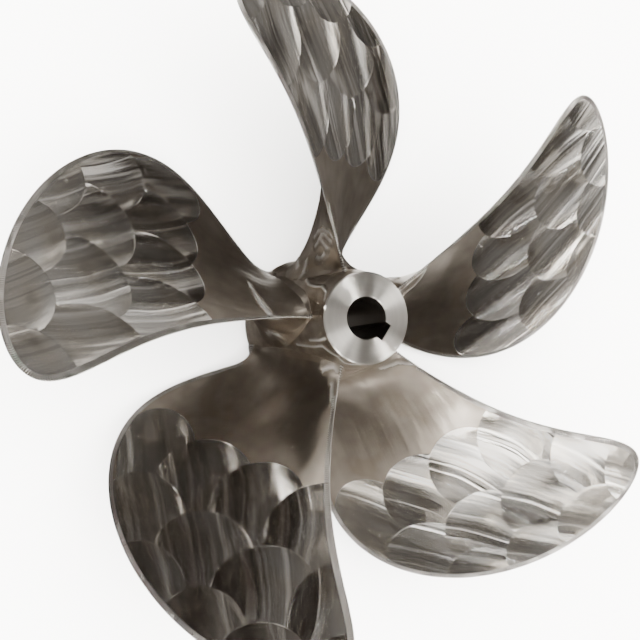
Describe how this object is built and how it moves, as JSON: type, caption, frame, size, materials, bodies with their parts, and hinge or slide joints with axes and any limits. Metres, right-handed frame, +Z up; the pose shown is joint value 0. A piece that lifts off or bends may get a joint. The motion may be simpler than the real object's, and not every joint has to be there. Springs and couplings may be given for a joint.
{
  "type": "five-bladed fixed-pitch ship propeller",
  "caption": "Right-handed fixed-pitch ship propeller with broad skewed blades on a tapered hub with a keyed shaft bore.",
  "frame": {"origin": "on the shaft axis, in the plane of the hub's forward face, which the propeller stands on", "axes": "+Z up the shaft axis from the hub's forward face to its small aft face; +X from the axis through the keyway; +Y completes the right-handed set"},
  "size_m": [0.9612, 0.9673, 0.3143],
  "materials": {
    "hub": "stainless steel, hand-ground flank, turned end faces and bore",
    "blade": "stainless steel, ground in overlapping disc marks, satin root"
  },
  "bodies": {
    "root": {"hub": "hub", "blade_1": "blade", "blade_2": "blade", "blade_3": "blade", "blade_4": "blade", "blade_5": "blade"}
  },
  "joints": []
}
